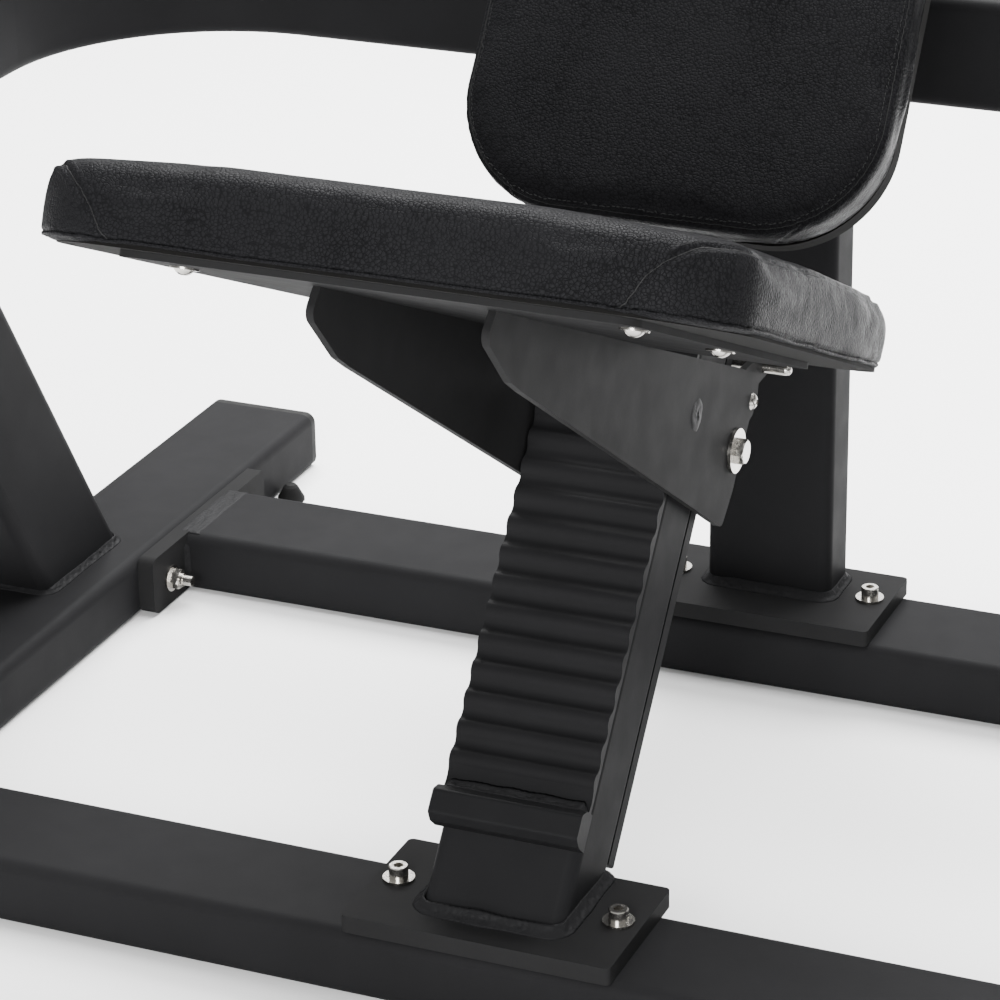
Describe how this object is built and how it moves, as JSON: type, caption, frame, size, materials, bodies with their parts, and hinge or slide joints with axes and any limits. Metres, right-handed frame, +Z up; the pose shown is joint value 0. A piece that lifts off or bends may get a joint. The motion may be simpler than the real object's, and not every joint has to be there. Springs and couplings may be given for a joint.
{
  "type": "chest press machine",
  "caption": "Plate-loaded chest press: steel tube base, ratcheting reclined seat on a leaning toothed post, back pad, rear hoop and independent press arms.",
  "frame": {"origin": "on the floor under the middle of the machine's bounding box", "axes": "+X to the sitter's left seen from the front (the machine's right in front view), +Y towards the back of the machine, +Z up"},
  "size_m": [1.972, 1.137, 1.1701],
  "materials": {
    "powder_black": "textured powder coat, satin",
    "rack_black": "coarser powder coat over pressed waves",
    "zinc_bright": "bright zinc plate",
    "steel_bare": "ground steel",
    "horn_chrome": "hard chrome",
    "vinyl_black": "grained upholstery vinyl, soft sheen",
    "board_black": "stained plywood",
    "rubber_black": "matt",
    "plastic_black": "matt moulded",
    "plastic_white": "nylon"
  },
  "bodies": {
    "frame": {"back_pad_bars": "powder_black", "back_pad_board": "board_black", "back_pad_bolts": "zinc_bright", "back_pad_cushion": "vinyl_black", "base_plate_screws": "zinc_bright", "base_plate_washers": "zinc_bright", "bump_stops": "rubber_black", "flange_bolts": "zinc_bright", "front_base_plate": "powder_black", "front_flanges": "powder_black", "front_rail": "powder_black", "hoop": "powder_black", "hoop_flange_bolts": "zinc_bright", "hoop_flanges": "powder_black", "leg_left": "powder_black", "leg_right": "powder_black", "lower_pad_bracket": "powder_black", "pivot_shaft_left": "steel_bare", "pivot_shaft_right": "steel_bare", "post_wear_plate": "powder_black", "rack_stop_lip": "rack_black", "rail_end_caps": "plastic_black", "rear_base_plate": "powder_black", "rear_flanges": "powder_black", "rear_rail": "powder_black", "rubber_feet": "rubber_black", "seat_post": "powder_black", "side_rail_left": "powder_black", "side_rail_right": "powder_black", "stop_brackets": "powder_black", "tube_top_caps": "plastic_black", "upright": "powder_black", "wave_rack": "rack_black"},
    "seat_slider": {"roller_axle": "zinc_bright"},
    "seat_roller": {"rear_roller": "plastic_white"},
    "seat_carriage": {"cheek_left": "powder_black", "cheek_right": "powder_black", "rack_bar": "steel_bare", "cheek_fasteners": "zinc_bright", "seat_plate": "powder_black", "seat_board": "board_black", "seat_cushion": "vinyl_black", "seat_bolts": "zinc_bright"},
    "press_arm_left": {"arm_hub_left": "powder_black", "cross_tube_left": "powder_black", "handle_bar_left": "horn_chrome", "handle_grip_left": "rubber_black", "hub_bearings_left": "steel_bare", "press_lever_left": "powder_black", "weight_horn_left": "horn_chrome", "weight_lever_left": "powder_black"},
    "press_arm_right": {"arm_hub_right": "powder_black", "cross_tube_right": "powder_black", "handle_bar_right": "horn_chrome", "handle_grip_right": "rubber_black", "hub_bearings_right": "steel_bare", "press_lever_right": "powder_black", "weight_horn_right": "horn_chrome", "weight_lever_right": "powder_black"}
  },
  "joints": [
    {"name": "seat_slide", "type": "slide", "parent": "frame", "child": "seat_slider", "axis": [0, 0.6293, 0.7771], "range_m": [-0.294, 0.0735]},
    {"name": "seat_tilt", "type": "hinge", "parent": "seat_slider", "child": "seat_carriage", "pos_m": [0, -0.00057, 0.34254], "axis": [-1, 0, 0], "range_deg": [0, 5]},
    {"name": "roller_spin", "type": "hinge", "parent": "seat_slider", "child": "seat_roller", "pos_m": [0, -0.00057, 0.34254], "axis": [1, 0, 0], "range_deg": [-790, 200]},
    {"name": "press_left", "type": "hinge", "parent": "frame", "child": "press_arm_left", "pos_m": [-0.756, -0.23354, 0.69498], "axis": [1, 0, 0], "range_deg": [0, 50]},
    {"name": "press_right", "type": "hinge", "parent": "frame", "child": "press_arm_right", "pos_m": [0.756, -0.23354, 0.69498], "axis": [1, 0, 0], "range_deg": [0, 50]}
  ],
  "couplings": [
    {"joint": "roller_spin", "follows": "seat_slide", "rad_per_m": 46.512}
  ]
}
